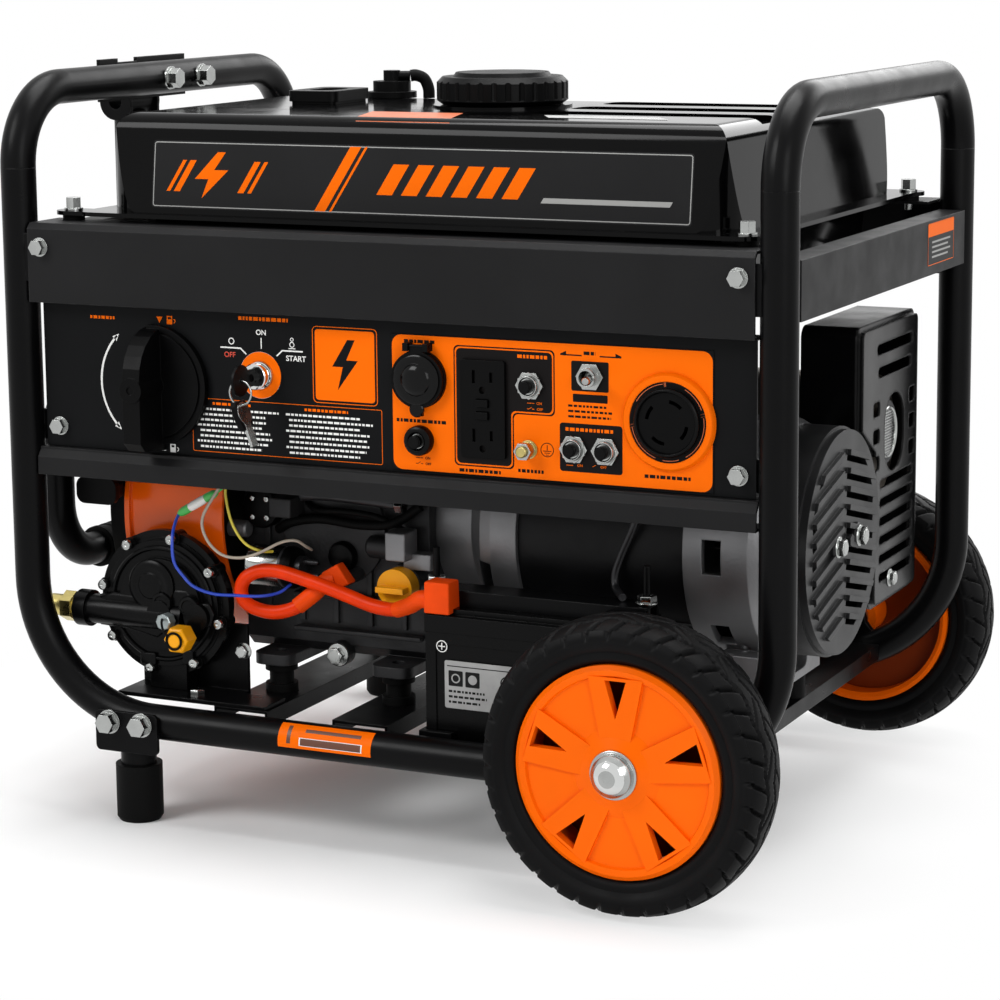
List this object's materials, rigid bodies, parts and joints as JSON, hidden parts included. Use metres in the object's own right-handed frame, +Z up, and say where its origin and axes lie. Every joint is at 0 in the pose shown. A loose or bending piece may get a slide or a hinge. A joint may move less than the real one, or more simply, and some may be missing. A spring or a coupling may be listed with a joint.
{
  "type": "portable generator",
  "caption": "Open-frame portable generator with fuel tank, control panel, dual-fuel engine, alternator, battery, folding handle and transport wheels.",
  "frame": {"origin": "middle of the bounding box on the ground, under the feet and wheels", "axes": "+X along the control panel to the right, towards the wheels; +Y from the control panel to the rear; +Z up"},
  "size_m": [0.6422, 0.5744, 0.5445],
  "materials": {
    "frame_paint": "satin black powder coat",
    "zinc": "bright zinc plate",
    "rubber": "matt moulded rubber",
    "tyre": "matt tread with a satin side wall",
    "wheel_orange": "satin moulded plastic",
    "tank_paint": "gloss black paint",
    "panel_black": "satin black with printed graphics",
    "black_plastic": "fine textured moulding",
    "engine_cast": "die cast, lightly blasted",
    "shroud_orange": "gloss orange paint",
    "steel": "dark steel",
    "amber": "translucent moulding look",
    "cable_red": "PVC insulation",
    "brass": "yellow passivated"
  },
  "bodies": {
    "chassis": {"front_frame_tube": "frame_paint", "rear_frame_tube": "frame_paint", "top_frame_tubes": "frame_paint", "frame_channels": "frame_paint", "cross_members": "frame_paint", "support_legs": "frame_paint", "rubber_feet": "rubber", "frame_bolts": "zinc", "axle": "zinc", "handle_bracket": "frame_paint", "tank_upper": "tank_paint", "tank_lower": "tank_paint", "vapour_valve": "black_plastic", "fuel_gauge": "black_plastic", "rubber_hoses": "rubber", "control_panel": "panel_black", "ignition_switch": "zinc", "dc_socket": "black_plastic", "gfci_outlet": "black_plastic", "panel_fittings": "zinc", "twist_lock_outlet": "black_plastic", "crankcase": "engine_cast", "cylinder_block": "engine_cast", "fan_shroud": "shroud_orange", "recoil_cover": "black_plastic", "starter_motor": "steel", "air_cleaner": "black_plastic", "muffler": "steel", "muffler_shield": "frame_paint", "dipstick": "amber", "alternator_bells": "engine_cast", "stator": "steel", "alternator_cover": "frame_paint", "rubber_mounts": "rubber", "battery": "black_plastic", "equipment_brackets": "frame_paint", "cables": "cable_red", "gas_regulator": "black_plastic", "gas_fittings": "brass"},
    "front_wheel": {"front_tyre": "tyre", "front_rim": "wheel_orange"},
    "rear_wheel": {"rear_tyre": "tyre", "rear_rim": "wheel_orange"},
    "handle": {"handle_tube": "frame_paint", "handle_grip": "rubber"},
    "cap": {"fuel_cap": "black_plastic"},
    "selector": {"fuel_selector_knob": "black_plastic"},
    "key": {"ignition_key": "black_plastic"},
    "ring": {"key_ring": "zinc"},
    "socket_cover": {"dc_socket_cover": "black_plastic"},
    "test_button": {"gfci_test_button": "black_plastic"},
    "reset_button": {"gfci_reset_button": "black_plastic"},
    "dc_breaker_button": {"breaker_dc": "black_plastic"},
    "ac_breaker_button": {"breaker_ac": "black_plastic"},
    "main_breaker_left": {"breaker_main_left": "black_plastic"},
    "main_breaker_right": {"breaker_main_right": "black_plastic"},
    "toggle": {"voltage_toggle": "zinc"},
    "starter_pull": {"recoil_handle": "black_plastic"},
    "crank": {"crankshaft": "steel"},
    "choke": {"choke_lever": "zinc"}
  },
  "joints": [
    {"name": "front_wheel_spin", "type": "hinge", "parent": "chassis", "child": "front_wheel", "pos_m": [0.22025, -0.247, 0.101], "axis": [0, 1, 0], "continuous": true},
    {"name": "rear_wheel_spin", "type": "hinge", "parent": "chassis", "child": "rear_wheel", "pos_m": [0.22025, 0.247, 0.101], "axis": [0, 1, 0], "continuous": true},
    {"name": "handle_fold", "type": "hinge", "parent": "chassis", "child": "handle", "pos_m": [-0.30525, 0, 0.51], "axis": [0, 1, 0], "range_deg": [0, 90]},
    {"name": "fuel_cap_lift", "type": "slide", "parent": "chassis", "child": "cap", "axis": [0, 0, 1], "range_m": [0, 0.06]},
    {"name": "fuel_selector_turn", "type": "hinge", "parent": "chassis", "child": "selector", "pos_m": [-0.16725, -0.193, 0.322], "axis": [0, 1, 0], "range_deg": [0, 180]},
    {"name": "key_turn", "type": "hinge", "parent": "chassis", "child": "key", "pos_m": [-0.08075, -0.193, 0.3335], "axis": [0, 1, 0], "range_deg": [0, 90]},
    {"name": "key_ring_swing", "type": "hinge", "parent": "key", "child": "ring", "pos_m": [-0.08075, -0.223, 0.3335], "axis": [0, 1, 0], "range_deg": [-30, 30]},
    {"name": "socket_cover_flip", "type": "hinge", "parent": "chassis", "child": "socket_cover", "pos_m": [0.04375, -0.1993, 0.361], "axis": [-1, 0, 0], "range_deg": [0, 120]},
    {"name": "gfci_test_press", "type": "slide", "parent": "chassis", "child": "test_button", "axis": [0, 1, 0], "range_m": [0, 0.001], "stiffness_N_per_m": 400},
    {"name": "gfci_reset_press", "type": "slide", "parent": "chassis", "child": "reset_button", "axis": [0, 1, 0], "range_m": [0, 0.001], "stiffness_N_per_m": 400},
    {"name": "dc_breaker_trip", "type": "slide", "parent": "chassis", "child": "dc_breaker_button", "axis": [0, -1, 0], "range_m": [0, 0.0035]},
    {"name": "ac_breaker_trip", "type": "slide", "parent": "chassis", "child": "ac_breaker_button", "axis": [0, -1, 0], "range_m": [0, 0.0035]},
    {"name": "main_breaker_left_trip", "type": "slide", "parent": "chassis", "child": "main_breaker_left", "axis": [0, -1, 0], "range_m": [0, 0.0035]},
    {"name": "main_breaker_right_trip", "type": "slide", "parent": "chassis", "child": "main_breaker_right", "axis": [0, -1, 0], "range_m": [0, 0.0035]},
    {"name": "voltage_toggle_flip", "type": "hinge", "parent": "chassis", "child": "toggle", "pos_m": [0.17025, -0.193, 0.3465], "axis": [0, 0, 1], "range_deg": [-28, 0]},
    {"name": "recoil_pull", "type": "slide", "parent": "chassis", "child": "starter_pull", "axis": [0, -1, 0], "range_m": [0, 0.065], "stiffness_N_per_m": 40},
    {"name": "crankshaft_spin", "type": "hinge", "parent": "chassis", "child": "crank", "pos_m": [0.01275, -0.04, 0.215], "axis": [1, 0, 0], "continuous": true},
    {"name": "choke_turn", "type": "hinge", "parent": "chassis", "child": "choke", "pos_m": [-0.12725, 0.118, 0.358], "axis": [0, 0, 1], "range_deg": [-60, 0]}
  ]
}
